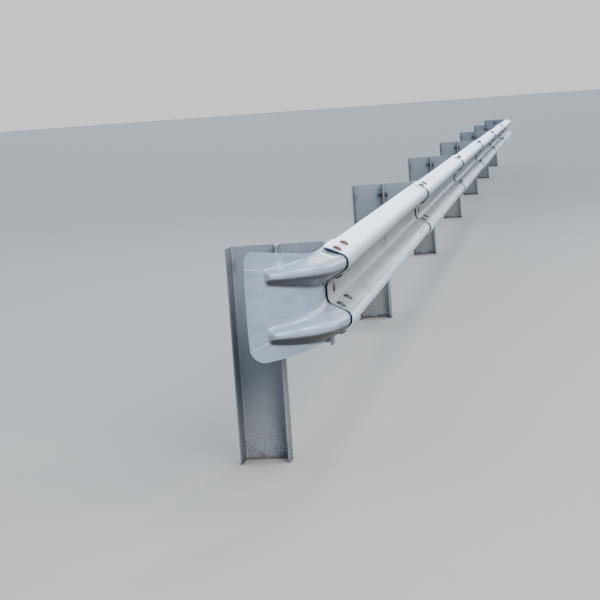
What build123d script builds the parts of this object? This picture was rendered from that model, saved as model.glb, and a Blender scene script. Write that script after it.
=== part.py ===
from build123d import *
from math import atan2, cos, pi, radians, sin, tan
import os

# Steel guardrail of W-shaped rails on channel posts, from its end wing on through whole bays.
# Millimetres. X runs along the rail away from the wing, traffic passes on the -Y side, Z is up.
# The origin is at ground level in the middle of the first post's web.

os.makedirs("parts", exist_ok=True)

# Driving dimensions of the run
bay_count = 6
bay_length = 4000.0
rail_centre_height = 610.0
post_height = 770.0

# Bent channel that posts and spacers are cut from
channel_web = 178.0
channel_flange = 90.0
channel_wall = 6.0
channel_bend = 7.0
spacer_length = 360.0
seat_gap = 0.3

# Bolt holes in the channels
post_bolt_hole = 18.0
spacer_bolt_drop = 60.0
spacer_bolt_spacing = 240.0

# W section of the rail, measured on its back face
sheet = 3.0
rail_height = 312.0
rail_depth = 83.0
hump_spacing = 194.0
crest_half_flat = 21.0
valley_half_flat = 35.0
crest_radius = 32.0
valley_radius = 34.0
bend_share = 0.98
lip_width = 20.0
lip_radius = 60.0
lip_angle = 19.0

# Splice: each rail laps over the traffic side of the one before it
lap_length = 318.0
splice_end_margin = 51.0
splice_slot_length = 29.0
splice_slot_width = 23.0
outer_row_shift = 12.0
post_slot_length = 64.0
post_slot_width = 19.0
lap_clearance = 0.3

# End wing: straight from the splice, then bent away from traffic in front of the first post
wing_straight = 300.0
wing_bend_radius = 250.0
wing_turn = 80.0
wing_flare_start = 370.0
wing_end_height = 370.0
wing_end_bulge = 5.0
wing_lower_corner = 52.0
wing_upper_corner = 32.0
trim_clearance = 0.3

# Pressed fingers of the wing: the two humps run on, taper and end on the flat plate
taper_start = 90.0
outer_taper_start = 200.0
inner_taper_power = 2.7
lap_dip = 14.0
lap_dip_end = 290.0
finger_margin = 62.0
finger_nose_length = 20.0
finger_tip_depth = 20.0
finger_outer_root = 118.5
finger_inner_root = 75.0
finger_crest_half_flat = 7.0
finger_crest_reach = 5.0
finger_inner_reach = 9.0
finger_outer_reach = 7.0
section_step = 24.0
nose_section_count = 5
plate_section_count = 4

# Sizes that follow from the ones above
half_web = channel_web / 2
post_front = -half_web
spacer_front = post_front - channel_web
back_plane = spacer_front - seat_gap
bolt_line = channel_wall / 2 - channel_flange / 2
half_lap = lap_length / 2
rail_length = bay_length + lap_length
crest_back = rail_depth - sheet
hump_centre = hump_spacing / 2
lip_tip = rail_height / 2 - sheet * cos(radians(lip_angle))
lip_root = lip_tip - lip_width * tan(radians(lip_angle))
inner_flank_rise = hump_centre - crest_half_flat - valley_half_flat
outer_flank_rise = lip_root - hump_centre - crest_half_flat
inner_flank_angle = atan2(inner_flank_rise, crest_back)
outer_flank_angle = atan2(outer_flank_rise, crest_back - lip_width)

# Bends of the W: no bend takes more than its share of the flat beside it
crest_turn = pi / 2 - min(inner_flank_angle, outer_flank_angle)
valley_turn = pi / 2 - inner_flank_angle
lip_turn = abs(outer_flank_angle - radians(lip_angle))
crest_bend = min(crest_radius, bend_share * crest_half_flat / tan(crest_turn / 2))
valley_bend = min(valley_radius, bend_share * valley_half_flat / tan(valley_turn / 2))
crest_reach = crest_bend * tan(crest_turn / 2)
valley_reach = valley_bend * tan(valley_turn / 2)
lip_reach = lip_radius * tan(lip_turn / 2)

# A sheet laid over an equal one stands off until the stretch that lies nearest to square clears it
lap_angle = min(inner_flank_angle, outer_flank_angle, radians(lip_angle))
lap_offset = (sheet + lap_clearance) / sin(lap_angle)
run_skew = atan2(lap_offset, bay_length)


def run_plane(x, y, turn=0.0):
    """Plane across the run at x, y: local x points away from traffic, local y up, normal along the run."""
    heading = run_skew - turn
    return Plane(
        origin=(x, y, rail_centre_height),
        x_dir=(-sin(heading), cos(heading), 0),
        z_dir=(cos(heading), sin(heading), 0),
    )


def bolt_station(number):
    """Distance along X of the bolt line at post number 1, 2, 3 and so on."""
    return bolt_line + (number - 1) * bay_length


def channel_section(x, y, z):
    """C section on a level plane: web across the run, flanges pointing back toward the wing."""
    with BuildSketch(Plane(origin=(x, y, z))) as section:
        with BuildLine():
            outer = FilletPolyline(
                (channel_wall / 2 - channel_flange, half_web),
                (channel_wall / 2, half_web),
                (channel_wall / 2, -half_web),
                (channel_wall / 2 - channel_flange, -half_web),
                radius=channel_bend + channel_wall,
            )
            offset(outer, amount=channel_wall, side=Side.RIGHT)
        make_face()
    return section.sketch


def flange_plane(x, flange_face, z):
    """Plane on the traffic face of a flange, looking out toward traffic."""
    return Plane(origin=(x, flange_face, z), x_dir=(1, 0, 0), z_dir=(0, -1, 0))


def w_back_line():
    """Back face of the W section, from its upper lip to its lower one."""
    upper = [
        (0, lip_tip),
        (-lip_width, lip_root),
        (-crest_back, hump_centre + crest_half_flat),
        (-crest_back, hump_centre - crest_half_flat),
        (0, valley_half_flat),
    ]
    lower = [(depth, -height) for depth, height in reversed(upper)]
    radii = [lip_radius, crest_bend, crest_bend, valley_bend]
    return FilletPolyline(*upper, *lower, radius=radii + radii[::-1])


# Posts, one at each splice, standing on the ground line
for number in range(1, bay_count + 2):
    station = bolt_station(number)
    with BuildPart() as post:
        extrude(channel_section(station - bolt_line, 0, 0), amount=post_height)
        upper_bolt = post_height - spacer_bolt_drop
        for height in (upper_bolt, upper_bolt - spacer_bolt_spacing):
            with Locations(flange_plane(station, post_front, height)):
                Hole(post_bolt_hole / 2, depth=channel_wall)
    post.part.label = f"post_{number}"
    export_step(post.part, f"parts/post_{number}.step")

# Spacers, bolted between post and rail with their tops level with the post's
for number in range(1, bay_count + 2):
    station = bolt_station(number)
    spacer_foot = post_height - spacer_length
    with BuildPart() as spacer:
        extrude(channel_section(station - bolt_line, -channel_web, spacer_foot), amount=spacer_length)
        upper_bolt = post_height - spacer_bolt_drop
        for height in (upper_bolt, upper_bolt - spacer_bolt_spacing):
            with Locations(flange_plane(station, post_front - channel_wall, height)):
                Hole(post_bolt_hole / 2, depth=channel_wall)
        with Locations(flange_plane(station, spacer_front, rail_centre_height)):
            Hole(post_bolt_hole / 2, depth=channel_wall)
    spacer.part.label = f"spacer_{number}"
    export_step(spacer.part, f"parts/spacer_{number}.step")


def flank_plane(base, near, far):
    """Plane on a flat stretch of the sheet, between two points of the section: local x along the run."""
    across = Vector(*far) - Vector(*near)
    middle = (Vector(*far) + Vector(*near)) / 2
    normal = base.x_dir * across.Y - base.y_dir * across.X
    return Plane(origin=base.from_local_coords(middle), x_dir=base.z_dir, z_dir=normal)


def slot_rows(base, splice_columns, post_columns):
    """Outlines of the splice slots on all four flanks, and of the post slots along the valley.

    The slots of the outer flanks sit nearer the lips than the middle of the flank.
    """
    lip = (-lip_width, lip_root)
    crest_outer = (-crest_back, hump_centre + crest_half_flat)
    crest_inner = (-crest_back, hump_centre - crest_half_flat)
    valley = (0, valley_half_flat)
    rows = []
    for side in (1, -1):
        for start, end, shift in ((lip, crest_outer, outer_row_shift), (valley, crest_inner, 0)):
            flank = flank_plane(base, (start[0], start[1] * side), (end[0], end[1] * side))
            with BuildSketch(flank) as splice_slots:
                with Locations(*[(column, shift) for column in splice_columns]):
                    SlotOverall(splice_slot_length, splice_slot_width)
            rows.append(splice_slots.sketch)
    with BuildSketch(flank_plane(base, (0, -valley_half_flat), (0, valley_half_flat))) as post_slots:
        with Locations(*[(column, 0) for column in post_columns]):
            SlotOverall(post_slot_length, post_slot_width)
    rows.append(post_slots.sketch)
    return rows


# Rails, all alike: the near end lies outside the sheet before it and the far end under the next one
splice_inset = lap_length - splice_end_margin
rail_slots = (splice_end_margin, splice_inset, rail_length - splice_inset, rail_length - splice_end_margin)
rail_post_slots = (half_lap, rail_length / 2, rail_length - half_lap)
for number in range(1, bay_count + 1):
    near_end = run_plane(
        bolt_station(number) - half_lap * cos(run_skew),
        back_plane - lap_offset - half_lap * sin(run_skew),
    )
    with BuildPart() as rail:
        with BuildSketch(near_end):
            with BuildLine():
                offset(w_back_line(), amount=sheet, side=Side.RIGHT)
            make_face()
        extrude(amount=rail_length)
        for row in slot_rows(near_end, rail_slots, rail_post_slots):
            extrude(row, amount=sheet * 2, both=True, mode=Mode.SUBTRACT)
    rail.part.label = f"rail_{number}"
    export_step(rail.part, f"parts/rail_{number}.step")


wing_length = wing_straight + wing_bend_radius * radians(wing_turn)
finger_tip = wing_length - finger_margin
nose_start = finger_tip - finger_nose_length


def share_of(distance, start, end):
    """How far a distance has got on its way from start to end, from 0 to 1."""
    return min(1.0, max(0.0, (distance - start) / (end - start)))


def blend(first, last, share):
    """Straight blend between two sizes."""
    return first + (last - first) * share


def ease(share):
    """Smooth step from 0 to 1."""
    return share * share * (3 - 2 * share)


def wing_plane(distance):
    """Plane across the wing at a distance from the first bolt line, measured along its bend."""
    bend = max(0.0, distance - wing_straight) / wing_bend_radius
    along = min(distance, wing_straight) + wing_bend_radius * sin(bend)
    away = wing_bend_radius * (1 - cos(bend))
    return run_plane(
        bolt_line - along * cos(run_skew) - away * sin(run_skew),
        back_plane - along * sin(run_skew) + away * cos(run_skew),
        turn=bend,
    )


def wing_edge(distance):
    """Height of the wing's long edges above and below the rail's centre at a distance."""
    return blend(lip_tip, wing_end_height / 2, share_of(distance, wing_flare_start, wing_length))


def dip_at_lap(distance):
    """How far the wing's upper flank sinks under the rail's near end, fading out along the wing."""
    rise = ease(share_of(distance, taper_start, half_lap))
    fade = ease(share_of(distance, half_lap, lap_dip_end))
    return lap_dip * rise * (1 - fade)


def wing_corners(distance):
    """Corners of the wing's back face at a distance, from the upper edge to the lower one."""
    taper = share_of(distance, half_lap, finger_tip)
    depth = blend(crest_back, finger_tip_depth, share_of(distance, half_lap, nose_start))
    depth *= 1 - ease(share_of(distance, nose_start, finger_tip))
    outer = blend(lip_root, finger_outer_root, share_of(distance, outer_taper_start, finger_tip) ** 2)
    inner_share = share_of(distance, 0, finger_tip) ** inner_taper_power
    inner = blend(valley_half_flat, finger_inner_root, inner_share)
    crest = blend(crest_half_flat, finger_crest_half_flat, taper)
    lip = lip_width * (1 - ease(share_of(distance, taper_start, wing_flare_start)))
    upper = [
        (0, wing_edge(distance)),
        (-lip, outer),
        (-depth, hump_centre + crest),
        (-depth, hump_centre - crest),
        (0, inner),
    ]
    lower = [(back, -height) for back, height in reversed(upper)]
    upper[1] = (-lip, outer - dip_at_lap(distance))
    return [Vector(*corner) for corner in upper + lower]


def wing_reaches(distance):
    """How far the bend at each inner corner reaches along the flats beside it."""
    taper = share_of(distance, half_lap, finger_tip)
    crest = blend(crest_reach, finger_crest_reach, taper)
    upper = [
        blend(lip_reach, finger_outer_reach, taper),
        crest,
        crest,
        blend(valley_reach, finger_inner_reach, taper),
    ]
    return upper + upper[::-1]


def sheet_front(corners, reaches):
    """Corners and reaches of the front face, one sheet thickness to the right of the back face."""
    courses = [(after - before).normalized() for before, after in zip(corners, corners[1:])]
    sides = [Vector(course.Y, -course.X) for course in courses]
    front = [corners[0] + sides[0] * sheet]
    front_reaches = []
    for index, reach in enumerate(reaches):
        course, next_course = courses[index], courses[index + 1]
        half_turn = sides[index].dot(next_course) / (1 + course.dot(next_course))
        front.append(corners[index + 1] + (sides[index] - course * half_turn) * sheet)
        front_reaches.append(reach - half_turn * sheet)
    front.append(corners[-1] + sides[-1] * sheet)
    return front, front_reaches


def bent_line(corners, reaches):
    """Line through the corners, with each inner corner rounded by a parabola."""
    start = corners[0]
    for before, corner, after, reach in zip(corners, corners[1:], corners[2:], reaches):
        bend_start = corner + (before - corner).normalized() * reach
        bend_end = corner + (after - corner).normalized() * reach
        Line(start, bend_start)
        Bezier(bend_start, corner, bend_end)
        start = bend_end
    Line(start, corners[-1])


def wing_section(distance):
    """Closed section of the wing's sheet on its plane."""
    back, back_reaches = wing_corners(distance), wing_reaches(distance)
    front, front_reaches = sheet_front(back, back_reaches)
    with BuildSketch(wing_plane(distance)) as section:
        with BuildLine():
            bent_line(back, back_reaches)
            bent_line(front, front_reaches)
            Line(back[0], front[0])
            Line(back[-1], front[-1])
        make_face()
    return section.sketch


def plate_section(distance):
    """Section of the flat plate past the fingers' tips."""
    with BuildSketch(wing_plane(distance)) as section:
        with Locations((-sheet / 2, 0)):
            Rectangle(sheet, wing_edge(distance) * 2)
    return section.sketch


def spread(start, end, count):
    """Evenly spaced distances from start to end, in a number of steps."""
    return [blend(start, end, index / count) for index in range(count + 1)]


# What the rounded corners and the bulged end edge leave over, on a plane against the wing's end
tip_plane = wing_plane(wing_length)
plate_plane = Plane(origin=tip_plane.origin, x_dir=-tip_plane.z_dir, z_dir=tip_plane.x_dir)
trim_length = wing_lower_corner + wing_upper_corner
end_half = wing_edge(wing_length) + trim_clearance
trim_half = wing_edge(wing_length - trim_length) + trim_clearance
with BuildSketch(plate_plane) as end_outline:
    with BuildLine():
        ThreePointArc((-wing_end_bulge, end_half), (0, 0), (-wing_end_bulge, -end_half))
        Polyline(
            (-wing_end_bulge, end_half),
            (-trim_length, trim_half),
            (-trim_length, -trim_half),
            (-wing_end_bulge, -end_half),
        )
    make_face()
    fillet(end_outline.vertices().sort_by(Axis.Y)[-1], wing_upper_corner)
    fillet(end_outline.vertices().sort_by(Axis.Y)[0], wing_lower_corner)
with BuildSketch(plate_plane) as end_waste:
    Rectangle(trim_length * 2, wing_end_height * 2)
    with Locations((-trim_length, 0)):
        Rectangle(trim_length, wing_end_height * 2, align=(Align.MAX, Align.CENTER), mode=Mode.SUBTRACT)
    add(end_outline.sketch_local, mode=Mode.SUBTRACT)

# End wing: one pressed sheet that starts as a W under the first rail and ends as a flared plate
splice_reach = half_lap - splice_end_margin
finger_steps = round((nose_start - taper_start) / section_step)
with BuildPart() as end_wing:
    extrude(wing_section(taper_start), amount=taper_start + half_lap)
    finger_stations = spread(taper_start, nose_start, finger_steps)
    finger_stations += spread(nose_start, finger_tip, nose_section_count)[1:]
    loft([wing_section(distance) for distance in finger_stations])
    loft([plate_section(distance) for distance in spread(finger_tip, wing_length, plate_section_count)])
    for row in slot_rows(wing_plane(0), (-splice_reach, splice_reach), (0,)):
        extrude(row, amount=sheet * 2, both=True, mode=Mode.SUBTRACT)
    extrude(end_waste.sketch, amount=trim_length, both=True, mode=Mode.SUBTRACT)
end_wing.part.label = "end_wing"
export_step(end_wing.part, "parts/end_wing.step")
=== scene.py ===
import bpy
import bmesh
import numpy as np
from mathutils import Matrix, Vector


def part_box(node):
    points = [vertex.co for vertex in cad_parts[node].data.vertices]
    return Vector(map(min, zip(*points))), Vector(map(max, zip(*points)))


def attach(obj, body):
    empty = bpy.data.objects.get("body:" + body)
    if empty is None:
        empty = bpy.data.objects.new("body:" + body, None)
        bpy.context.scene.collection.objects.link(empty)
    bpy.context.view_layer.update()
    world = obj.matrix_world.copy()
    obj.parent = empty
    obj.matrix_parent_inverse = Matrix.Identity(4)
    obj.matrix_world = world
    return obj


# The whole run: steel channel posts and spacers, six W-shaped rails lapped end to end, and the end wing.
# Metres, X along the run away from the wing, traffic on the -Y side, Z up from ground level.
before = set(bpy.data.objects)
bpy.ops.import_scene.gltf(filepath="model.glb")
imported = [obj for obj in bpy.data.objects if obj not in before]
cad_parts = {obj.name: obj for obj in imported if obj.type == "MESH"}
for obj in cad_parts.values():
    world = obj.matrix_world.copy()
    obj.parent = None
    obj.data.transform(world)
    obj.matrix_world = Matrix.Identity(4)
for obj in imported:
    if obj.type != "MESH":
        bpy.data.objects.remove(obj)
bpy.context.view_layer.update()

# Rails: roll-formed 3 mm sheet, 312 mm high and 83 mm deep, lapped end to end over the posts.
# Silver-white road paint over zinc, brushed along the run by traffic, streaked by rain, stained at the
# splices, with road film and painted shade under the humps and pale dust on top of them. Painted shade
# darkens the valley, with dirt, and the upper crest, with road film; painted light with pale dust
# brightens the lower crest.
RAILS = sorted(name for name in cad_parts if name.startswith("rail_"))
SPACERS = sorted(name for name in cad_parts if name.startswith("spacer_"))
STATIONS = [sum(corner[0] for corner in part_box(name)) / 2 for name in SPACERS]
BAY = STATIONS[1] - STATIONS[0]

SHEET = 0.003
HUMP_LEVEL = 0.097
CREST_HALF = 0.021
VALLEY_HALF = 0.035
LIP_WIDTH = 0.020
LIP_ANGLE = np.radians(19.0)
rail_low, rail_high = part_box("rail_1")
RAIL_CENTRE = (rail_low[2] + rail_high[2]) / 2
LIP_TIP = (rail_high[2] - rail_low[2]) / 2 - SHEET * np.cos(LIP_ANGLE)
LIP_ROOT = LIP_TIP - LIP_WIDTH * np.tan(LIP_ANGLE)

COLUMN = 0.108
BUTTON_RADIUS = 0.0165
FLANK_RISE = 0.44
OUTER_ROW_RISE = 0.005
OUTER_LEVEL = (LIP_ROOT + HUMP_LEVEL + CREST_HALF) / 2 + OUTER_ROW_RISE
INNER_LEVEL = (VALLEY_HALF + HUMP_LEVEL - CREST_HALF) / 2

RAIL_SILVER = (0.500, 0.572, 0.640, 1.0)
ROAD_FILM_AND_SHADE = (0.115, 0.105, 0.092, 1.0)
PALE_DUST_AND_LIGHT = (0.622, 0.695, 0.757, 1.0)
RUST_BROWN = (0.190, 0.128, 0.085, 1.0)
VALLEY_DIRT_AND_SHADE = (0.205, 0.200, 0.190, 1.0)
BLOTCH_TONE = (0.91, 0.92, 0.93, 1.0)
BRUSH_TONE = (0.94, 0.945, 0.95, 1.0)
MOTTLE_TONE = (0.93, 0.93, 0.93, 1.0)
RAIL_PATCH_TONE = (0.84, 0.86, 0.88, 1.0)
COAT_ROUGHNESS = 0.16
SKIN_DEPTH = 0.0010
STREAK_DULLNESS = 0.30
GRIME_DULLNESS = 0.35
MOTTLE_DULLNESS = 0.12
STAIN_RAGGED = 0.035
SHADOW_RING_SHARE = 0.75
VALLEY_SHADE_SHARE = 0.85
VALLEY_DULLNESS = 0.60
SMEAR_SHARE = 0.16
DUST_AND_LIGHT_FADE = (0.012, 0.034)
DUST_AND_LIGHT_CREST_SHARE = 0.92
FILM_AND_SHADE_FADE = (0.014, 0.032)
FILM_AND_SHADE_CREST_SHARE = 0.20
WAVE = 0.030
UPPER_CREST = 0.096
LOWER_CREST = -0.104
SCUFF_PLACE = (0.50, -0.352, 0.549)
SCUFF_SIZE = 0.036
SCUFF_STRETCH = (0.24, 1.0, 1.0)
SCUFF_DEPTH = -0.7
SCRATCH_LEVELS = (0.49, 0.56)
BREAK_LEVELS = (0.42, 0.50)


def new_group(name, inputs, outputs):
    """Empty shader group; inputs map a socket's name to its kind and default, outputs to its kind."""
    group = bpy.data.node_groups.new(name, "ShaderNodeTree")
    for label, (kind, default) in inputs.items():
        socket = group.interface.new_socket(label, in_out="INPUT", socket_type="NodeSocket" + kind)
        socket.default_value = default
    for label, kind in outputs.items():
        group.interface.new_socket(label, in_out="OUTPUT", socket_type="NodeSocket" + kind)
    source = group.nodes.new("NodeGroupInput")
    sink = group.nodes.new("NodeGroupOutput")
    return group, source.outputs, sink.inputs


def fill(tree, socket, value):
    """Links a socket's value into an input, or sets a plain value on it."""
    if isinstance(value, bpy.types.NodeSocket):
        tree.links.new(value, socket)
    else:
        socket.default_value = value


def add(tree, kind, settings=None, **links):
    """New node of a kind; settings go on the node, links fill or feed its inputs (i3 is input number 3)."""
    node = tree.nodes.new("ShaderNode" + kind)
    for label, value in (settings or {}).items():
        setattr(node, label, value)
    for label, value in links.items():
        by_number = label[0] == "i" and label[1:].isdigit()
        fill(tree, node.inputs[int(label[1:]) if by_number else label], value)
    return node


def use_group(tree, group, **values):
    """Outputs of a shader group placed in a material with its own values."""
    node = tree.nodes.new("ShaderNodeGroup")
    node.node_tree = group
    for label, value in values.items():
        fill(tree, node.inputs[label], value)
    return node.outputs


def maths(tree, operation, first, second=0.0, third=0.0):
    """Output of a Math node."""
    return add(tree, "Math", {"operation": operation}, i0=first, i1=second, i2=third).outputs[0]


def product(tree, first, second):
    """Two values multiplied."""
    return maths(tree, "MULTIPLY", first, second)


def off(tree, value, centre):
    """How far a value is off its centre, up or down."""
    return maths(tree, "ABSOLUTE", maths(tree, "SUBTRACT", value, centre))


def ramp(tree, value, low, high, first=0.0, last=1.0):
    """Output that goes smoothly from first to last as value goes from low to high."""
    settings = {"interpolation_type": "SMOOTHSTEP"}
    return add(tree, "MapRange", settings, i0=value, i1=low, i2=high, i3=first, i4=last).outputs[0]


def tint(tree, share, first, second, mode="MIX"):
    """Colour mixed from first to second by share."""
    settings = {"data_type": "RGBA", "blend_type": mode}
    return add(tree, "Mix", settings, i0=share, i6=first, i7=second).outputs[2]


def shade(tree, share, colour, tone):
    """Colour multiplied by a tone where share is 1, and left alone where it is 0."""
    return tint(tree, share, colour, tone, "MULTIPLY")


def noise(tree, place, stretch, scale, detail=3.0, rough=0.55):
    """Noise from 0 to 1 on coordinates that are stretched by three factors."""
    moved = add(tree, "Mapping", i0=place, i3=stretch).outputs[0]
    return add(tree, "TexNoise", i0=moved, Scale=scale, Detail=detail, Roughness=rough).outputs[0]


def place_on(tree):
    """Place on the piece in metres, as one vector and as its three coordinates."""
    place = add(tree, "TexCoord").outputs["Object"]
    return place, add(tree, "SeparateXYZ", i0=place).outputs


def facing_of(tree):
    """The three coordinates of the direction that the surface faces."""
    return add(tree, "SeparateXYZ", i0=add(tree, "NewGeometry").outputs["Normal"]).outputs


def gap_from(tree, place, centre, shape=(1.0, 1.0, 1.0)):
    """Distance from a centre with each axis scaled by shape; a factor under 1 draws the spot out that way."""
    away = add(tree, "VectorMath", {"operation": "SUBTRACT"}, i0=place, i1=centre).outputs["Vector"]
    scaled = add(tree, "VectorMath", {"operation": "MULTIPLY"}, i0=away, i1=shape).outputs["Vector"]
    return add(tree, "VectorMath", {"operation": "LENGTH"}, i0=scaled).outputs["Value"]


def weathered_paint():
    """Group: old road paint. Blotches, brush lines, rain streaks, dust on top, and film with painted shade
    underneath.
    """
    group, given, made = new_group(
        "weathered_paint",
        {
            "Paint": ("Color", RAIL_SILVER),
            "GrimeAndShade": ("Color", ROAD_FILM_AND_SHADE),
            "Streaks": ("Float", 0.2),
            "Film": ("Float", 0.4),
            "Dust": ("Float", 0.3),
            "Dullness": ("Float", 0.4),
        },
        {"Color": "Color", "Roughness": "Float", "Height": "Float"},
    )
    place = place_on(group)[0]
    upward = facing_of(group)[2]
    blotch = noise(group, place, (1, 1, 1), scale=5.0, detail=4.0)
    mottle = noise(group, place, (1, 1, 1), scale=85.0, detail=3.0, rough=0.6)
    brushed = noise(group, place, (0.02, 1, 1), scale=190.0, detail=2.0)
    rain = noise(group, place, (1, 1, 0.06), scale=70.0, detail=3.0, rough=0.65)
    colour = shade(group, ramp(group, blotch, 0.35, 0.70), given["Paint"], BLOTCH_TONE)
    colour = shade(group, ramp(group, brushed, 0.30, 0.75), colour, BRUSH_TONE)
    colour = shade(group, ramp(group, mottle, 0.35, 0.75), colour, MOTTLE_TONE)
    streak = product(group, ramp(group, rain, 0.52, 0.78), given["Streaks"])
    colour = tint(group, streak, colour, given["GrimeAndShade"])
    # Faces that point down: painted shade, with road grime.
    ragged = maths(group, "MULTIPLY_ADD", blotch, 0.5, upward)
    below = product(group, ramp(group, ragged, 0.20, -0.35), given["Film"])
    colour = tint(group, below, colour, given["GrimeAndShade"])
    above = product(group, ramp(group, upward, 0.25, 0.95), given["Dust"])
    group.links.new(tint(group, above, colour, PALE_DUST_AND_LIGHT), made["Color"])
    spotty = ramp(group, mottle, 0.3, 0.8)
    dull = maths(group, "MULTIPLY_ADD", spotty, MOTTLE_DULLNESS, given["Dullness"])
    dull = maths(group, "MULTIPLY_ADD", below, GRIME_DULLNESS, dull)
    group.links.new(maths(group, "MULTIPLY_ADD", streak, STREAK_DULLNESS, dull), made["Roughness"])
    skin = maths(group, "MULTIPLY_ADD", mottle, 0.35, product(group, blotch, 0.65))
    group.links.new(skin, made["Height"])
    return group


def patchy_film():
    """Group: thin film in drawn-out patches. It multiplies the colour by its tone where the noise is high."""
    group, given, made = new_group(
        "patchy_film",
        {
            "Color": ("Color", RAIL_SILVER),
            "Tone": ("Color", RAIL_PATCH_TONE),
            "Stretch": ("Vector", (1.0, 1.0, 1.0)),
            "Scale": ("Float", 12.0),
            "Detail": ("Float", 4.0),
            "From": ("Float", 0.45),
            "To": ("Float", 0.62),
        },
        {"Color": "Color"},
    )
    place = place_on(group)[0]
    patches = noise(group, place, given["Stretch"], given["Scale"], given["Detail"], rough=0.65)
    share = ramp(group, patches, given["From"], given["To"])
    group.links.new(shade(group, share, given["Color"], given["Tone"]), made["Color"])
    return group


def bolt_stains_and_shadows():
    """Group: rust, and a ring of painted shadow with grime, round the eight bolts of each splice, from the
    distance to the nearest one.
    """
    group, given, made = new_group(
        "bolt_stains_and_shadows",
        {"Color": ("Color", RAIL_SILVER), "Amount": ("Float", 0.5)},
        {"Color": "Color"},
    )
    place, axes = place_on(group)
    from_post = maths(group, "PINGPONG", maths(group, "SUBTRACT", axes[0], STATIONS[0]), BAY / 2)
    along = maths(group, "SUBTRACT", from_post, COLUMN)
    level = off(group, axes[2], RAIL_CENTRE)
    reaches = []
    for row in (OUTER_LEVEL, INNER_LEVEL):
        up = maths(group, "DIVIDE", maths(group, "SUBTRACT", level, row), FLANK_RISE)
        squares = maths(group, "MULTIPLY_ADD", up, up, product(group, along, along))
        reaches.append(maths(group, "SQRT", squares))
    nearest = maths(group, "MINIMUM", reaches[0], reaches[1])
    ragged = noise(group, place, (1, 1, 1), scale=70.0, detail=4.0, rough=0.7)
    spread = maths(group, "MULTIPLY_ADD", ragged, STAIN_RAGGED, nearest)
    stain = product(group, ramp(group, spread, 0.036, 0.050, 1.0, 0.0), given["Amount"])
    colour = tint(group, stain, given["Color"], RUST_BROWN)
    # Ring round each head: painted contact shadow, with road grime.
    shadow_ring = ramp(group, nearest, BUTTON_RADIUS + 0.001, BUTTON_RADIUS + 0.005, SHADOW_RING_SHARE, 0.0)
    group.links.new(tint(group, shadow_ring, colour, ROAD_FILM_AND_SHADE), made["Color"])
    return group


PAINT = weathered_paint()
PATCHES = patchy_film()
STAINS_AND_SHADOWS = bolt_stains_and_shadows()


def new_material(name, metallic, gloss=0.5, coat=0.0):
    """Material with a Principled shader; gives the material, its tree and the shader."""
    material = bpy.data.materials.new(name)
    material.use_nodes = True
    shader = material.node_tree.nodes["Principled BSDF"]
    shader.inputs["Metallic"].default_value = metallic
    shader.inputs["Specular IOR Level"].default_value = gloss
    shader.inputs["Coat Weight"].default_value = coat
    shader.inputs["Coat Roughness"].default_value = COAT_ROUGHNESS
    return material, material.node_tree, shader


def finish_surface(tree, shader, colour, roughness, height, distance):
    """Colour and roughness into the shader, and a height from 0 to 1 times distance into its normal."""
    tree.links.new(colour, shader.inputs["Base Color"])
    tree.links.new(roughness, shader.inputs["Roughness"])
    node = add(tree, "Bump", Height=height, Distance=distance)
    tree.links.new(node.outputs[0], shader.inputs["Normal"])


def scuff_lines(tree, place):
    """Mask of the scuff: broken scrape lines in a drawn-out spot on the first rail's lower crest."""
    scratches = noise(tree, place, (0.06, 1, 1), scale=170.0, detail=2.0, rough=0.5)
    breaks = noise(tree, place, (0.35, 1, 1), scale=60.0, detail=3.0, rough=0.6)
    gap = gap_from(tree, place, SCUFF_PLACE, SCUFF_STRETCH)
    spot = ramp(tree, gap, SCUFF_SIZE * 0.6, SCUFF_SIZE, 1.0, 0.0)
    spot = product(tree, spot, ramp(tree, facing_of(tree)[1], 0.0, -0.3))
    lines = product(tree, ramp(tree, scratches, *SCRATCH_LEVELS), ramp(tree, breaks, *BREAK_LEVELS))
    return product(tree, lines, spot)


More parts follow.
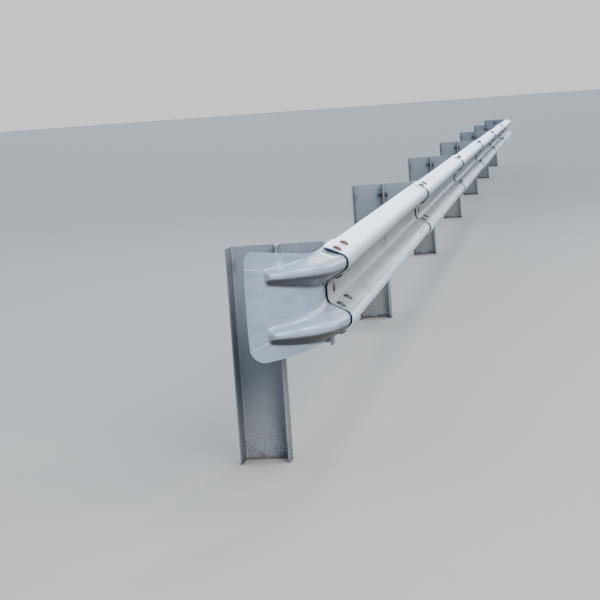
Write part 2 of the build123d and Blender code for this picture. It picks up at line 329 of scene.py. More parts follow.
def rail_finish():
    """Silver-white paint of the rails, by the height above or below the rail's centre.

    Painted shade with dirt lies in the sheltered valley, painted shade with road film on the upper crest,
    painted light with pale dust on the lower one, rust at the splices.
    """
    material, tree, shader = new_material("silver_rail_paint", metallic=0.15, coat=0.15)
    paint = use_group(tree, PAINT, Paint=RAIL_SILVER, Streaks=0.14, Film=0.52, Dust=0.40, Dullness=0.32)
    place, axes = place_on(tree)
    level = maths(tree, "SUBTRACT", axes[2], RAIL_CENTRE + WAVE / 2)
    waves = noise(tree, place, (0.05, 1, 1), scale=40.0, detail=3.0)
    wavy = maths(tree, "MULTIPLY_ADD", waves, WAVE, level)
    # Valley under the upper hump: painted shade, with dirt.
    under_hump = ramp(tree, wavy, 0.055, HUMP_LEVEL + 0.02, VALLEY_SHADE_SHARE, 0.0)
    over_crest = ramp(tree, wavy, LOWER_CREST + 0.012, LOWER_CREST + 0.040)
    valley_shade_and_dirt = product(tree, under_hump, over_crest)
    colour = tint(tree, valley_shade_and_dirt, paint["Color"], VALLEY_DIRT_AND_SHADE)
    drawn_out = {"Stretch": (0.25, 1.0, 1.0), "Scale": 11.0, "Detail": 5.0, "From": 0.45, "To": 0.62}
    colour = use_group(tree, PATCHES, Color=colour, Tone=RAIL_PATCH_TONE, **drawn_out)["Color"]
    smears = noise(tree, place, (0.10, 1, 1), scale=26.0, detail=5.0, rough=0.70)
    colour = tint(tree, ramp(tree, smears, 0.50, 0.72, 0.0, SMEAR_SHARE), colour, ROAD_FILM_AND_SHADE)
    # Lower crest: painted light, with pale dust.
    dust_and_light = ramp(tree, off(tree, wavy, LOWER_CREST), *DUST_AND_LIGHT_FADE, DUST_AND_LIGHT_CREST_SHARE, 0.0)
    colour = tint(tree, dust_and_light, colour, PALE_DUST_AND_LIGHT)
    # Upper crest: painted shade, with road film.
    film_and_shade = ramp(tree, off(tree, wavy, UPPER_CREST), *FILM_AND_SHADE_FADE, FILM_AND_SHADE_CREST_SHARE, 0.0)
    colour = tint(tree, film_and_shade, colour, ROAD_FILM_AND_SHADE)
    colour = use_group(tree, STAINS_AND_SHADOWS, Color=colour, Amount=0.36)["Color"]
    scuff = scuff_lines(tree, place)
    colour = tint(tree, scuff, colour, ROAD_FILM_AND_SHADE)
    height = maths(tree, "MULTIPLY_ADD", scuff, SCUFF_DEPTH, paint["Height"])
    roughness = maths(tree, "MULTIPLY_ADD", valley_shade_and_dirt, VALLEY_DULLNESS, paint["Roughness"])
    finish_surface(tree, shader, colour, roughness, height, SKIN_DEPTH)
    return material


def dress(names, material):
    """Gives CAD nodes a material in place of the one they came with."""
    for name in names:
        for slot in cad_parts[name].material_slots:
            slot.material = material


dress(RAILS, rail_finish())

# End wing: one pressed 3 mm sheet, a W under the first rail and a flared plate at its free end.
# Its paint is a cooler grey than the rails', with faint press lines past the finger tips, small white
# drops of paint, painted glints on a rubbed spot beside the upper finger's tip and a painted highlight on
# top of its hump.
WING_GREY = (0.280, 0.328, 0.402, 1.0)
WHITE_DROP_AND_HIGHLIGHT = (0.640, 0.720, 0.830, 1.0)
DARK_GRIME_AND_SHADE = (0.056, 0.058, 0.064, 1.0)
WIPED_TONE = (0.85, 0.85, 0.845, 1.0)
CLOUD_TONE = (0.89, 0.885, 0.875, 1.0)
UPPER_LINE = (-0.118, 0.728, 0.193)
LOWER_LINE = (-0.129, 0.4945, -0.436)
LINE_HALF = 0.0032
LINE_SHARE = 0.24
LINE_HEIGHT = 0.35
CREST_HIGHLIGHT_SHARE = 0.46
SETTLED_GRIME_AND_SHADE_SHARE = 0.36
RUBBED_GLINT_SPOT = (-0.542, -0.172, 0.738)
RUBBED_FADE = (0.008, 0.026)
RUBBED_HEIGHT = 0.6
GLINT_LEVELS = (0.48, 0.58)
HIGHLIGHT_SPOT = (-0.300, -0.314, 0.737)
HIGHLIGHT_SHAPE = (0.30, 1.0, 1.0)
HIGHLIGHT_FADE = (0.008, 0.024)
HIGHLIGHT_SHARE = 0.30
HIGHLIGHT_POLISH = -0.22


def press_line():
    """Group: a thin raised line on the plate. Past start, it lies at z = level + slope * (y - start)."""
    group, given, made = new_group(
        "press_line",
        {"Start": ("Float", 0.0), "Level": ("Float", 0.7), "Slope": ("Float", 0.0)},
        {"Mask": "Float"},
    )
    axes = place_on(group)[1]
    past = maths(group, "SUBTRACT", axes[1], given["Start"])
    line = maths(group, "MULTIPLY_ADD", past, given["Slope"], given["Level"])
    near = ramp(group, off(group, axes[2], line), 0.0, LINE_HALF, 1.0, 0.0)
    group.links.new(product(group, near, ramp(group, past, -0.004, 0.006)), made["Mask"])
    return group


def specks():
    """Group: small round specks. A cell shows one where its random value is over the threshold."""
    group, given, made = new_group(
        "specks",
        {"Scale": ("Float", 60.0), "Size": ("Float", 0.1), "Threshold": ("Float", 0.9)},
        {"Mask": "Float"},
    )
    cells = add(group, "TexVoronoi", i0=place_on(group)[0], Scale=given["Scale"]).outputs
    pick = add(group, "SeparateXYZ", i0=cells["Color"]).outputs[0]
    chosen = maths(group, "GREATER_THAN", pick, given["Threshold"])
    dot = maths(group, "LESS_THAN", cells["Distance"], given["Size"])
    group.links.new(product(group, chosen, dot), made["Mask"])
    return group


LINE = press_line()
SPECKS = specks()


def plate_lines(tree):
    """Mask of the two press lines on the plate."""
    lines = []
    for start, level, slope in (UPPER_LINE, LOWER_LINE):
        lines.append(use_group(tree, LINE, Start=start, Level=level, Slope=slope)["Mask"])
    return maths(tree, "MAXIMUM", lines[0], lines[1])


def rubbed_glint_spot(tree, place):
    """Mask of the rubbed spot: small painted glints round its centre."""
    glints = noise(tree, place, (0.6, 0.6, 1), scale=230.0, detail=4.0, rough=0.7)
    near_spot = ramp(tree, gap_from(tree, place, RUBBED_GLINT_SPOT), *RUBBED_FADE, 1.0, 0.0)
    return product(tree, near_spot, ramp(tree, glints, *GLINT_LEVELS))


def wing_finish():
    """Blue-grey paint of the end wing.

    Faces toward traffic that tip up a little are made pale by painted highlight with rub wear, and the
    fingers' flanks that face up are darkened by painted shade with settled grime. Patches of wiped and
    cloudy film lie over both, then lines, drops, the rubbed spot's painted glints and the painted highlight
    on the hump.
    """
    material, tree, shader = new_material("wing_grey_paint", metallic=0.15, coat=0.6)
    amounts = {"GrimeAndShade": DARK_GRIME_AND_SHADE, "Streaks": 0.06, "Film": 1.0, "Dust": 0.25, "Dullness": 0.34}
    paint = use_group(tree, PAINT, Paint=WING_GREY, **amounts)
    place = place_on(tree)[0]
    facing = facing_of(tree)
    wiped = {"Stretch": (0.15, 0.15, 1.0), "Scale": 55.0, "Detail": 4.0, "From": 0.40, "To": 0.65}
    colour = use_group(tree, PATCHES, Color=paint["Color"], Tone=WIPED_TONE, **wiped)["Color"]
    # Faces toward traffic that tip up: painted highlight, with rub wear.
    roadward = ramp(tree, facing[1], -0.86, -0.95)
    crest_highlight_and_wear = product(tree, roadward, ramp(tree, facing[2], 0.04, 0.18, 0.0, CREST_HIGHLIGHT_SHARE))
    colour = tint(tree, crest_highlight_and_wear, colour, WHITE_DROP_AND_HIGHLIGHT)
    # Flanks that face up: painted shade, with settled grime.
    settled_grime_and_shade = ramp(tree, facing[2], 0.62, 0.78)
    settled_grime_and_shade = product(tree, settled_grime_and_shade, ramp(tree, facing[2], 0.80, 0.88, SETTLED_GRIME_AND_SHADE_SHARE, 0.0))
    colour = tint(tree, settled_grime_and_shade, colour, DARK_GRIME_AND_SHADE)
    cloudy = {"Stretch": (0.6, 0.6, 1.0), "Scale": 13.0, "Detail": 4.0, "From": 0.46, "To": 0.62}
    colour = use_group(tree, PATCHES, Color=colour, Tone=CLOUD_TONE, **cloudy)["Color"]
    line = plate_lines(tree)
    colour = tint(tree, product(tree, line, LINE_SHARE), colour, WHITE_DROP_AND_HIGHLIGHT)
    drops = use_group(tree, SPECKS, Scale=42.0, Size=0.085, Threshold=0.965)["Mask"]
    colour = tint(tree, drops, colour, WHITE_DROP_AND_HIGHLIGHT)
    # Rubbed spot: painted glints, on rubbed paint.
    rubbed_glints = rubbed_glint_spot(tree, place)
    colour = tint(tree, rubbed_glints, colour, WHITE_DROP_AND_HIGHLIGHT)
    # Painted highlight on top of the hump, with smoother paint there.
    painted_highlight = ramp(tree, gap_from(tree, place, HIGHLIGHT_SPOT, HIGHLIGHT_SHAPE), *HIGHLIGHT_FADE, 1.0, 0.0)
    colour = tint(tree, product(tree, painted_highlight, HIGHLIGHT_SHARE), colour, WHITE_DROP_AND_HIGHLIGHT)
    height = maths(tree, "MULTIPLY_ADD", line, LINE_HEIGHT, paint["Height"])
    height = maths(tree, "MULTIPLY_ADD", rubbed_glints, RUBBED_HEIGHT, height)
    roughness = maths(tree, "MULTIPLY_ADD", painted_highlight, HIGHLIGHT_POLISH, paint["Roughness"])
    finish_surface(tree, shader, colour, roughness, height, SKIN_DEPTH)
    return material


dress(["end_wing"], wing_finish())

# Posts and spacers: 6 mm steel plate bent to a channel, open toward the wing, painted a darker grey.
# The paint is chipped and peppered with dark specks toward the ground, and darker at the foot of the web.
# Painted shadow with grime sits in the seam between post and spacer, and grime runs down from the bolts
# there. Dust low down also paints in light, road spray on faces toward traffic also paints in shade, and
# the far posts are paler with painted haze.
POSTS = sorted(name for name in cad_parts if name.startswith("post_"))
CHANNEL_SHEET = 0.006
post_low, post_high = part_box("post_1")
spacer_low, spacer_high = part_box("spacer_1")
POST_FACE = post_low[1]
POST_DEPTH = post_high[1] - post_low[1]
POST_TOP = post_high[2]
INSIDE_FACE = post_high[1] - CHANNEL_SHEET
SPACER_FACE = spacer_low[1]
SPACER_BACK = spacer_high[1]
SPACER_FOOT = spacer_low[2]
SEAM = (SPACER_BACK + POST_FACE) / 2
SEAM_HALF = 0.0035
SPACER_BOLT_DROP = 0.060
SPACER_BOLT_SPACING = 0.240

FIRST_POST_END = 0.5
SECOND_POST_START = 3.5

CHANNEL_GREY = (0.216, 0.237, 0.272, 1.0)
DARK_CHIP_AND_SHADE = (0.045, 0.040, 0.036, 1.0)
FOOT_DARK = (0.085, 0.071, 0.060, 1.0)
GROUND_DUST_AND_LIGHT = (0.280, 0.264, 0.234, 1.0)
ROAD_SPRAY_AND_SHADE = (0.112, 0.106, 0.100, 1.0)
DUST_REACH = 0.50
DUST_CLOUDS = 0.30
GROUND_DUST_AND_LIGHT_SHARE = 0.85
WASHED_REACH = 0.12
WASHED_DUST = 0.5
FIRST_POST_DUST = 0.30
FAR_HAZE_AND_DUST = 0.08
SPRAY_EDGE = (SEAM + 0.006, SEAM + 0.003)
SPRAY_AND_SHADE_SHARE = 0.60
CHIP_LEVELS = (0.730, 0.775)
CHIP_SPOTS = 0.16
CHIP_REACH = 0.24
LOW_CHIPS = 0.10
ROADWARD_CHIPS = 0.05
CHIP_SHARE = 0.62
CHIP_DEPTH = -0.5
SEAM_SHADOW_SHARE = 0.9
INSIDE_FADE = (0.0010, 0.0050)
INSIDE_SHADE_SHARE = 0.50
BOLT_REACH = 0.020
STREAK_LENGTH = 0.060
STREAK_CENTRE = 0.012
STREAK_FADE = (0.004, 0.012)
STREAK_SHARE = 0.42
FOOT_SOLID = 0.004
FOOT_REACH = 0.024
FOOT_RAGGED = 0.08
FOOT_SHARE = 0.9
FOOT_DULLNESS = 0.35


def ground_dust_and_light(tree, place, axes):
    """Share of dust thrown up from the ground, also painted light low down: it thins out with height, and on
    the first post.
    """
    clouds = noise(tree, place, (1, 1, 0.4), scale=9.0, detail=4.0)
    cloudy_height = maths(tree, "MULTIPLY_ADD", clouds, -DUST_CLOUDS, axes[2])
    dust_and_light = ramp(tree, cloudy_height, 0.0, DUST_REACH, GROUND_DUST_AND_LIGHT_SHARE, 0.0)
    dust_and_light = product(tree, dust_and_light, ramp(tree, axes[2], 0.0, WASHED_REACH, WASHED_DUST, 1.0))
    by_post = ramp(tree, axes[0], FIRST_POST_END, SECOND_POST_START, FIRST_POST_DUST, 1.0)
    return product(tree, dust_and_light, by_post)


def road_spray_and_shade(tree, axes):
    """Share of road spray with painted shade, on faces toward traffic in front of the seam."""
    roadward = ramp(tree, facing_of(tree)[1], -0.5, -0.9)
    sprayed = product(tree, roadward, ramp(tree, axes[1], *SPRAY_EDGE))
    return product(tree, sprayed, SPRAY_AND_SHADE_SHARE)


def paint_chips(tree, place, axes):
    """Mask of chipped paint: small flakes in spots, more of them low down and toward traffic."""
    flakes = noise(tree, place, (1, 1, 1), scale=210.0, detail=4.0, rough=0.68)
    spots = noise(tree, place, (1, 1, 1), scale=14.0, detail=2.0)
    level = maths(tree, "MULTIPLY_ADD", spots, CHIP_SPOTS, flakes)
    level = maths(tree, "ADD", level, ramp(tree, axes[1], 0.04, -0.08, 0.0, ROADWARD_CHIPS))
    low_down = ramp(tree, axes[2], 0.0, CHIP_REACH, 1.0, 0.0)
    return ramp(tree, maths(tree, "MULTIPLY_ADD", low_down, LOW_CHIPS, level), *CHIP_LEVELS)


def seam_shadow_and_grime(tree, axes):
    """Share of painted shadow and grime in the seam between post and spacer, from the spacer's foot upward.
    """
    off_seam = off(tree, axes[1], SEAM + SEAM_HALF)
    seam = ramp(tree, off_seam, SEAM_HALF * 0.7, SEAM_HALF, SEAM_SHADOW_SHARE, 0.0)
    return product(tree, seam, ramp(tree, axes[2], SPACER_FOOT, SPACER_FOOT + 0.004))


def flange_shade_and_grime(tree, axes):
    """Share of painted shade and grime along the inside face of the post's far flange."""
    return ramp(tree, off(tree, axes[1], INSIDE_FACE), *INSIDE_FADE, INSIDE_SHADE_SHARE, 0.0)


def bolt_streaks(tree, axes):
    """Share of grime that runs down from the upper spacer bolt, close to each flange."""
    below = maths(tree, "SUBTRACT", POST_TOP - SPACER_BOLT_DROP, axes[2])
    fading = ramp(tree, below, BOLT_REACH, STREAK_LENGTH, 1.0, 0.0)
    run = product(tree, ramp(tree, below, -BOLT_REACH, 0.0), fading)
    from_face = maths(tree, "PINGPONG", maths(tree, "SUBTRACT", axes[1], SEAM), POST_DEPTH / 2)
    beside = ramp(tree, off(tree, from_face, STREAK_CENTRE), *STREAK_FADE, STREAK_SHARE, 0.0)
    return product(tree, run, beside)


def dark_foot_band(tree, place, axes):
    """Share of a dark band at the foot, with a ragged upper edge."""
    ragged = noise(tree, place, (1, 1, 0.6), scale=44.0, detail=5.0, rough=0.75)
    edge = maths(tree, "MULTIPLY_ADD", ragged, -FOOT_RAGGED, axes[2])
    middle = FOOT_RAGGED / 2
    return ramp(tree, edge, FOOT_SOLID - middle, FOOT_REACH - middle, FOOT_SHARE, 0.0)


def channel_finish():
    """Grey paint of posts and spacers: dust and painted light, spray and painted shade, painted haze, chips,
    grime and painted shadow, then a dark foot.
    """
    material, tree, shader = new_material("channel_grey_paint", metallic=0.1)
    paint = use_group(tree, PAINT, Paint=CHANNEL_GREY, Streaks=0.10, Film=0.30, Dust=0.30, Dullness=0.42)
    place, axes = place_on(tree)
    # Dust low down: painted light there too.
    colour = tint(tree, ground_dust_and_light(tree, place, axes), paint["Color"], GROUND_DUST_AND_LIGHT)
    # Road spray: painted shade too, on the road-side faces.
    colour = tint(tree, road_spray_and_shade(tree, axes), colour, ROAD_SPRAY_AND_SHADE)
    # Painted haze: far posts paler, with a little dust.
    far_haze_and_dust = ramp(tree, axes[0], FIRST_POST_END, SECOND_POST_START, 0.0, FAR_HAZE_AND_DUST)
    colour = tint(tree, far_haze_and_dust, colour, PALE_DUST_AND_LIGHT)
    chips = paint_chips(tree, place, axes)
    colour = tint(tree, product(tree, chips, CHIP_SHARE), colour, DARK_CHIP_AND_SHADE)
    drops = use_group(tree, SPECKS, Scale=46.0, Size=0.075, Threshold=0.95)["Mask"]
    # Specks and bolt streaks are grime; the seam grime is also painted shadow, the far flange's painted
    # shade.
    for share in (drops, seam_shadow_and_grime(tree, axes), flange_shade_and_grime(tree, axes), bolt_streaks(tree, axes)):
        colour = tint(tree, share, colour, DARK_CHIP_AND_SHADE)
    # Darker band at the foot of each post.
    foot_band = dark_foot_band(tree, place, axes)
    colour = tint(tree, foot_band, colour, FOOT_DARK)
    roughness = maths(tree, "MULTIPLY_ADD", foot_band, FOOT_DULLNESS, paint["Roughness"])
    skin = maths(tree, "MULTIPLY_ADD", chips, CHIP_DEPTH, paint["Height"])
    finish_surface(tree, shader, colour, roughness, skin, SKIN_DEPTH)
    return material


dress(POSTS + SPACERS, channel_finish())

# Splice bolts: eight M16 button heads at each lap on the traffic side, with hexagon nuts behind the sheets.
# Hot-dip zinc that has gone brown and grey with rust.
CREST_DEPTH = 0.080
OUTER_ROW_SHIFT = 0.012
LAP_CLEARANCE = 0.0003
LAP_OFFSET = (SHEET + LAP_CLEARANCE) / np.sin(LIP_ANGLE)
RUN_SKEW = np.arctan2(LAP_OFFSET, BAY)
SEAT_GAP = 0.0003
BACK_PLANE = SPACER_FACE - SEAT_GAP
BUTTON_RIM = 0.0016
BUTTON_HEIGHT = 0.0095
DOME_STEPS = 7
NUT_RADIUS = 0.0135
HEX_CORNER = NUT_RADIUS * 1.15
NUT_HEIGHT = 0.0145
NUT_SHOULDER = NUT_HEIGHT * 0.86
SHANK_RADIUS = 0.008
POINT_RADIUS = SHANK_RADIUS * 0.82
SHANK_END = 0.012
POINT_START = SHANK_END * 0.85
ROUND_COLUMNS = 28
HEX_COLUMNS = 36
MERGE_DISTANCE = 1e-6
SHARP_ANGLE = np.radians(35.0)
STEEL_BROWN = (0.052, 0.048, 0.046, 1.0)
BOLT_RUST = (0.145, 0.068, 0.038, 1.0)
GRAIN_TONE = (0.72, 0.70, 0.68, 1.0)
GRAIN_DEPTH = 0.0004
STEEL_ROUGHNESS = 0.42
RUST_DULLNESS = 0.35
FAR_RUST = 0.40
MOST_WET = 0.28


def turned(profile, columns, hexagon=None):
    """Surface of revolution about local z, closed at both poles.

    Each profile point is (radius, height). With a hexagon radius, the radius at angle u is the smaller of
    the profile's and hexagon / cos(u wrapped to plus or minus 30 degrees), a chamfered six-sided prism.
    """
    profile = np.array(profile)
    angle = np.arange(columns) * (2 * np.pi / columns)
    radius = np.repeat(profile[:, :1], columns, axis=1)
    if hexagon is not None:
        sixth = np.pi / 3
        flat = hexagon / np.cos((angle + sixth / 2) % sixth - sixth / 2)
        radius = np.minimum(radius, flat[None, :])
    height = np.repeat(profile[:, 1:], columns, axis=1)
    return np.stack([radius * np.cos(angle), radius * np.sin(angle), height], axis=-1)


def placed(surface, origins, axes):
    """Copies of a grid surface: point = origin + x * first axis + y * second axis + z * third axis."""
    return origins[:, None, None, :] + np.einsum("rcj,mjk->mrck", surface, axes)


def new_piece(name, grids, material):
    """Mesh piece from closed-round grids; each is an array of copies, rows, columns and xyz."""
    points, faces, start = [], [], 0
    for grid in grids:
        copies, rows, columns = grid.shape[:3]
        index = start + np.arange(copies * rows * columns).reshape(copies, rows, columns)
        turn = np.roll(index, -1, axis=2)
        quads = np.stack([index[:, :-1], turn[:, :-1], turn[:, 1:], index[:, 1:]], axis=-1)
        points.append(grid.reshape(-1, 3))
        faces.append(quads.reshape(-1, 4))
        start += index.size
    mesh = bpy.data.meshes.new(name)
    mesh.from_pydata(np.concatenate(points).tolist(), [], np.concatenate(faces).tolist())
    shape = bmesh.new()
    shape.from_mesh(mesh)
    bmesh.ops.remove_doubles(shape, verts=shape.verts, dist=MERGE_DISTANCE)
    bmesh.ops.recalc_face_normals(shape, faces=shape.faces)
    shape.to_mesh(mesh)
    shape.free()
    mesh.materials.append(material)
    piece = bpy.data.objects.new(name, mesh)
    bpy.context.scene.collection.objects.link(piece)
    mesh.shade_smooth()
    mesh.set_sharp_from_angle(angle=SHARP_ANGLE)
    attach(piece, "root")


def bolt_finish(name, steel, rusty_from, rusty_to):
    """Rusted bolt steel: dark zinc grey, with rust blooms that grow between two heights above ground."""
    material, tree, shader = new_material(name, metallic=0.3)
    place, axes = place_on(tree)
    bloom = noise(tree, place, (1, 1, 1), scale=120.0, detail=4.0, rough=0.65)
    grain = noise(tree, place, (1, 1, 1), scale=900.0, detail=3.0, rough=0.6)
    wet = ramp(tree, axes[2], rusty_from, rusty_to, 0.0, MOST_WET)
    rust = ramp(tree, maths(tree, "ADD", bloom, wet), 0.56, 0.72)
    rust = product(tree, rust, ramp(tree, axes[0], 1.0, 3.0, 1.0, FAR_RUST))
    colour = tint(tree, rust, steel, BOLT_RUST)
    colour = shade(tree, ramp(tree, grain, 0.35, 0.75), colour, GRAIN_TONE)
    roughness = maths(tree, "MULTIPLY_ADD", rust, RUST_DULLNESS, STEEL_ROUGHNESS)
    finish_surface(tree, shader, colour, roughness, grain, GRAIN_DEPTH)
    return material


def flank_rows():
    """Middle of each row of slots on the sheet's back face, and the outward normal, as depth and level."""
    outer = np.array([[LIP_WIDTH, LIP_ROOT], [CREST_DEPTH, HUMP_LEVEL + CREST_HALF]])
    inner = np.array([[0.0, VALLEY_HALF], [CREST_DEPTH, HUMP_LEVEL - CREST_HALF]])
    rows = []
    for ends, shift, upward in ((outer, OUTER_ROW_SHIFT, 1), (inner, 0.0, -1)):
        course = (ends[1] - ends[0]) / np.linalg.norm(ends[1] - ends[0])
        middle = ends.mean(axis=0) - course * shift
        normal = np.array([-course[1], course[0]]) * upward
        for side in (1, -1):
            rows.append((middle * (1, side), normal * (1, side)))
    return rows


def splice_frames():
    """Seats and axes of the bolts on the outer sheet's face, and of the nuts on the inner sheet's back."""
    heads, nuts, axes = [], [], []
    for station in STATIONS[:-1]:
        for column in (-COLUMN, COLUMN):
            for middle, normal in flank_rows():
                back = BACK_PLANE - LAP_OFFSET / 2 + column * np.tan(RUN_SKEW)
                centre = np.array([station + column, back - middle[0], RAIL_CENTRE + middle[1]])
                outward = np.array([0.0, -normal[0], normal[1]])
                half_gap = normal[0] * LAP_OFFSET / 2
                heads.append(centre + outward * (half_gap + SHEET))
                nuts.append(centre - outward * half_gap)
                along = np.array([1.0, 0.0, 0.0])
                axes.append([along, np.cross(outward, along), outward])
    return np.array(heads), np.array(nuts), np.array(axes)


def button_profile(radius, rim, height):
    """Profile of a low round head: a short straight rim, then a quarter ellipse up to the pole."""
    turn = np.linspace(0, np.pi / 2, DOME_STEPS)
    dome = np.stack([radius * np.cos(turn), rim + (height - rim) * np.sin(turn)], axis=-1)
    return np.concatenate([[(0.0, 0.0), (radius, 0.0)], dome])


def nut_profile():
    """Profile of a nut and the bolt's end; the corner radius is past the hexagon, which cuts it flat."""
    return [
        (0.0, 0.0),
        (HEX_CORNER, 0.0),
        (HEX_CORNER, NUT_SHOULDER),
        (NUT_RADIUS, NUT_HEIGHT),
        (SHANK_RADIUS, NUT_HEIGHT),
        (SHANK_RADIUS, NUT_HEIGHT + POINT_START),
        (POINT_RADIUS, NUT_HEIGHT + SHANK_END),
        (0.0, NUT_HEIGHT + SHANK_END),
    ]


BOLT_STEEL = bolt_finish("rusted_bolt_steel", STEEL_BROWN, rusty_from=0.72, rusty_to=0.75)
head_seats, nut_seats, bolt_axes = splice_frames()
back_axes = bolt_axes * np.array([1, -1, -1])[None, :, None]
button = button_profile(BUTTON_RADIUS, BUTTON_RIM, BUTTON_HEIGHT)
nut = nut_profile()
button_heads = placed(turned(button, ROUND_COLUMNS), head_seats, bolt_axes)
nuts_behind = placed(turned(nut, HEX_COLUMNS, NUT_RADIUS), nut_seats, back_axes)
new_piece("splice_bolt_heads", [button_heads], BOLT_STEEL)
new_piece("splice_nuts", [nuts_behind], BOLT_STEEL)

# Post bolts: one M16 bolt at every post, with a broad mushroom head in the rail's valley and its washer and
# nut behind the spacer's flange. At the last post it holds one sheet, elsewhere the two of the lap.
MUSHROOM_RADIUS = 0.018
MUSHROOM_RIM = 0.001
MUSHROOM_HEIGHT = 0.0062
WASHER_RADIUS = 0.0165
WASHER = 0.003
TO_TRAFFIC = np.array([[1.0, 0.0, 0.0], [0.0, 0.0, 1.0], [0.0, -1.0, 0.0]])
TO_FIELD = np.array([[1.0, 0.0, 0.0], [0.0, 0.0, -1.0], [0.0, 1.0, 0.0]])
STEEL_GREY = (0.050, 0.048, 0.046, 1.0)


def fasteners(profile, columns, seats, axes, lift=0.0, hexagon=None):
    """Copies of a turned shape with one direction: each seat is moved out by lift along the shape's axis."""
    directions = np.repeat(axes[None], len(seats), axis=0)
    return placed(turned(profile, columns, hexagon), seats + lift * axes[2], directions)


lapped = np.arange(len(STATIONS)) < len(STATIONS) - 1
levels = np.full(len(STATIONS), RAIL_CENTRE)
flange_backs = np.full(len(STATIONS), SPACER_FACE + CHANNEL_SHEET)
valley_seats = np.stack([STATIONS, BACK_PLANE - SHEET - LAP_OFFSET * lapped, levels], axis=-1)
flange_seats = np.stack([STATIONS, flange_backs, levels], axis=-1)
mushroom = button_profile(MUSHROOM_RADIUS, MUSHROOM_RIM, MUSHROOM_HEIGHT)
washer = [(0.0, 0.0), (WASHER_RADIUS, 0.0), (WASHER_RADIUS, WASHER), (0.0, WASHER)]
mushroom_heads = fasteners(mushroom, ROUND_COLUMNS, valley_seats, TO_TRAFFIC)
field_washers = fasteners(washer, ROUND_COLUMNS, flange_seats, TO_FIELD)
field_nuts = fasteners(nut, HEX_COLUMNS, flange_seats, TO_FIELD, WASHER, NUT_RADIUS)
new_piece("post_bolt_heads", [mushroom_heads], BOLT_STEEL)
DARK_STEEL = bolt_finish("dark_bolt_steel", STEEL_GREY, rusty_from=POST_TOP, rusty_to=POST_TOP + 1.0)
new_piece("post_bolt_nuts", [field_washers, field_nuts], DARK_STEEL)

# Spacer bolts: two M16 hexagon bolts through the flanges of each post and its spacer, heads in the spacer,
# nuts in the post, a flat washer under both.
HEAD_HEIGHT = 0.010
HEAD_SHOULDER = HEAD_HEIGHT * 0.85
upper_bolt = POST_TOP - SPACER_BOLT_DROP
bolt_levels = [upper_bolt, upper_bolt - SPACER_BOLT_SPACING]
hex_head = [
    (0.0, 0.0),
    (HEX_CORNER, 0.0),
    (HEX_CORNER, HEAD_SHOULDER),
    (NUT_RADIUS, HEAD_HEIGHT),
    (0.0, HEAD_HEIGHT),
]
station_grid, level_grid = np.meshgrid(STATIONS, bolt_levels)
places = np.stack([station_grid.ravel(), np.zeros(station_grid.size), level_grid.ravel()], axis=-1)
spacer_seats = places + (0.0, SPACER_BACK - CHANNEL_SHEET, 0.0)
post_seats = places + (0.0, POST_FACE + CHANNEL_SHEET, 0.0)
head_washers = fasteners(washer, ROUND_COLUMNS, spacer_seats, TO_TRAFFIC)
hex_heads = fasteners(hex_head, HEX_COLUMNS, spacer_seats, TO_TRAFFIC, WASHER, NUT_RADIUS)
nut_washers = fasteners(washer, ROUND_COLUMNS, post_seats, TO_FIELD)
nuts = fasteners(nut, HEX_COLUMNS, post_seats, TO_FIELD, WASHER, NUT_RADIUS)
new_piece("spacer_bolt_heads", [head_washers, hex_heads], DARK_STEEL)
new_piece("spacer_bolt_nuts", [nut_washers, nuts], DARK_STEEL)

# Floor: a plain pale studio floor that the posts stand on, out to the horizon. It throws back less light
# than the camera sees in it, as soil does, and a little more on the road's side.
FLOOR_HALF = 400.0
FLOOR_SEEN = (0.352, 0.312, 0.268, 1.0)
FLOOR_BOUNCE = (0.150, 0.122, 0.094, 1.0)
ROAD_BOUNCE = (0.205, 0.200, 0.195, 1.0)
FLOOR_ROUGHNESS = 0.9


def pale_floor():
    """Flat square floor at ground level."""
    mesh = bpy.data.meshes.new("floor")
    half = FLOOR_HALF
    corners = [(-half, -half, 0), (half, -half, 0), (half, half, 0), (-half, half, 0)]
    mesh.from_pydata(corners, [], [(0, 1, 2, 3)])
    floor = bpy.data.objects.new("floor", mesh)
    bpy.context.scene.collection.objects.link(floor)
    material, tree, shader = new_material("pale_floor", metallic=0.0, gloss=0.2)
    seen = add(tree, "LightPath").outputs["Is Camera Ray"]
    bounce = tint(tree, ramp(tree, place_on(tree)[1][1], -0.7, -1.6), FLOOR_BOUNCE, ROAD_BOUNCE)
    tree.links.new(tint(tree, seen, bounce, FLOOR_SEEN), shader.inputs["Base Color"])
    shader.inputs["Roughness"].default_value = FLOOR_ROUGHNESS
    mesh.materials.append(material)


pale_floor()

# Light: a pale sky, dim at the horizon and bluish overhead, brighter over the road, with a bright bank low
# over the far end of the run that shines in the tops of the rails. Soft square lights stand behind the
# camera, over the road and over the far end.
HORIZON = (0.92, 0.96, 1.00, 1.0)
ZENITH = (1.22, 1.78, 2.52, 1.0)
BANK = (7.80, 9.10, 10.40, 1.0)
ROAD_SKY = (1.90, 2.10, 2.30, 1.0)
SKY_LEVELS = (0.25, 0.95)
BANK_ALONG = (0.86, 0.97)
BANK_ACROSS = (-0.13, -0.02)
BANK_FOOT = (-0.02, 0.04)
BANK_TOP = (0.03, 0.36)
ROAD_ACROSS = (-0.20, -0.45)
ROAD_FOOT = (0.0, 0.06)
ROAD_TOP = (0.35, 0.60)
PALE_LIGHT = (0.98, 0.99, 1.0)
COOL_LIGHT = (0.96, 0.98, 1.0)


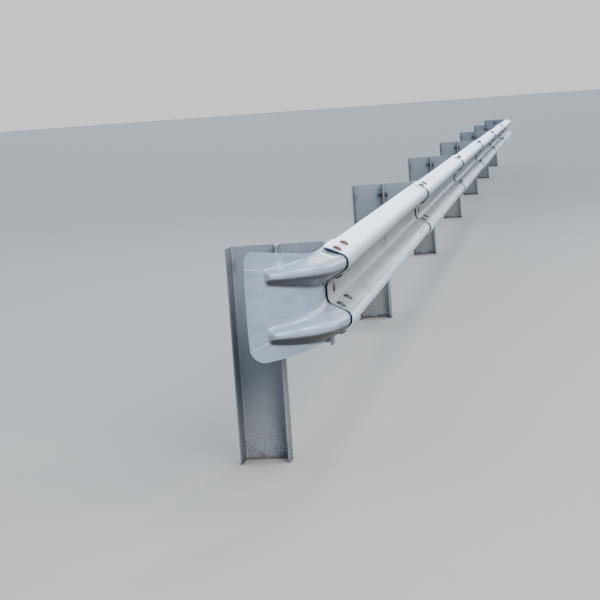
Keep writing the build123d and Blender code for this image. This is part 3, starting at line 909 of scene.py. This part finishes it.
def pale_sky():
    """World colour from the ray's direction: its height mixes horizon and zenith.

    The bank lies where it points down the run and low, and the road's sky where it points to the road and
    not high. The camera sees neither of the two.
    """
    world = bpy.data.worlds.new("studio")
    world.use_nodes = True
    tree = world.node_tree
    axes = add(tree, "SeparateXYZ", i0=add(tree, "TexCoord").outputs["Generated"]).outputs
    colour = tint(tree, ramp(tree, axes[2], *SKY_LEVELS), HORIZON, ZENITH)
    unseen = maths(tree, "SUBTRACT", 1.0, add(tree, "LightPath").outputs["Is Camera Ray"])
    along = product(tree, ramp(tree, axes[0], *BANK_ALONG), ramp(tree, axes[1], *BANK_ACROSS))
    low = product(tree, ramp(tree, axes[2], *BANK_FOOT), ramp(tree, axes[2], *BANK_TOP, 1.0, 0.0))
    bank = product(tree, product(tree, along, low), unseen)
    colour = tint(tree, bank, colour, BANK)
    side = product(tree, ramp(tree, axes[1], *ROAD_ACROSS), ramp(tree, axes[2], *ROAD_FOOT))
    side = product(tree, side, ramp(tree, axes[2], *ROAD_TOP, 1.0, 0.0))
    colour = tint(tree, product(tree, side, unseen), colour, ROAD_SKY)
    tree.links.new(colour, tree.nodes["Background"].inputs[0])
    bpy.context.scene.world = world


def soft_light(name, place, target, size, power, colour):
    """Square area light at a place, turned to face a target; size in metres, power in watts."""
    data = bpy.data.lights.new(name, "AREA")
    data.shape = "SQUARE"
    data.size = size
    data.energy = power
    data.color = colour
    light = bpy.data.objects.new(name, data)
    light.location = place
    light.rotation_euler = (Vector(target) - Vector(place)).to_track_quat("-Z", "Y").to_euler()
    bpy.context.scene.collection.objects.link(light)


pale_sky()
soft_light(
    "light_behind_camera",
    place=(-8.2, -5.0, 5.4),
    target=(0.0, -0.2, 0.5),
    size=4.5,
    power=1200.0,
    colour=PALE_LIGHT,
)
soft_light(
    "light_over_road",
    place=(0.6, -5.6, 5.6),
    target=(-0.4, -0.25, 0.6),
    size=3.0,
    power=240.0,
    colour=PALE_LIGHT,
)
soft_light(
    "light_over_far_end",
    place=(9.3, -1.7, 7.6),
    target=(-0.3, -0.25, 0.75),
    size=1.5,
    power=420.0,
    colour=COOL_LIGHT,
)

# Camera: a long lens 1.25 m above ground, off the free end of the wing and looking down the run at the
# photograph's angle. Depth of field is off.
CAMERA_PLACE = (-6.2049, -1.0757, 1.2494)
CAMERA_YAW = 8.471
CAMERA_PITCH = 6.219
CAMERA_ROLL = -4.115
LENS_PIXELS = 1785.1
PICTURE_PIXELS = 600.0
SENSOR = 36.0
FARTHEST = 1500.0


def photo_camera():
    """Camera from its place and its yaw, pitch and roll in degrees, with a lens given in picture pixels."""
    yaw, pitch, roll = np.radians([CAMERA_YAW, CAMERA_PITCH, CAMERA_ROLL])
    ahead = Vector((np.cos(pitch) * np.cos(yaw), np.cos(pitch) * np.sin(yaw), -np.sin(pitch)))
    level = ahead.cross(Vector((0, 0, 1))).normalized()
    upright = level.cross(ahead)
    right = level * np.cos(roll) + upright * np.sin(roll)
    up = upright * np.cos(roll) - level * np.sin(roll)
    data = bpy.data.cameras.new("camera")
    data.sensor_width = SENSOR
    data.lens = SENSOR * LENS_PIXELS / PICTURE_PIXELS
    data.clip_end = FARTHEST
    camera = bpy.data.objects.new("camera", data)
    turn = Matrix((right, up, -ahead)).transposed()
    camera.matrix_world = Matrix.Translation(CAMERA_PLACE) @ turn.to_4x4()
    bpy.context.scene.collection.objects.link(camera)
    bpy.context.scene.camera = camera


photo_camera()
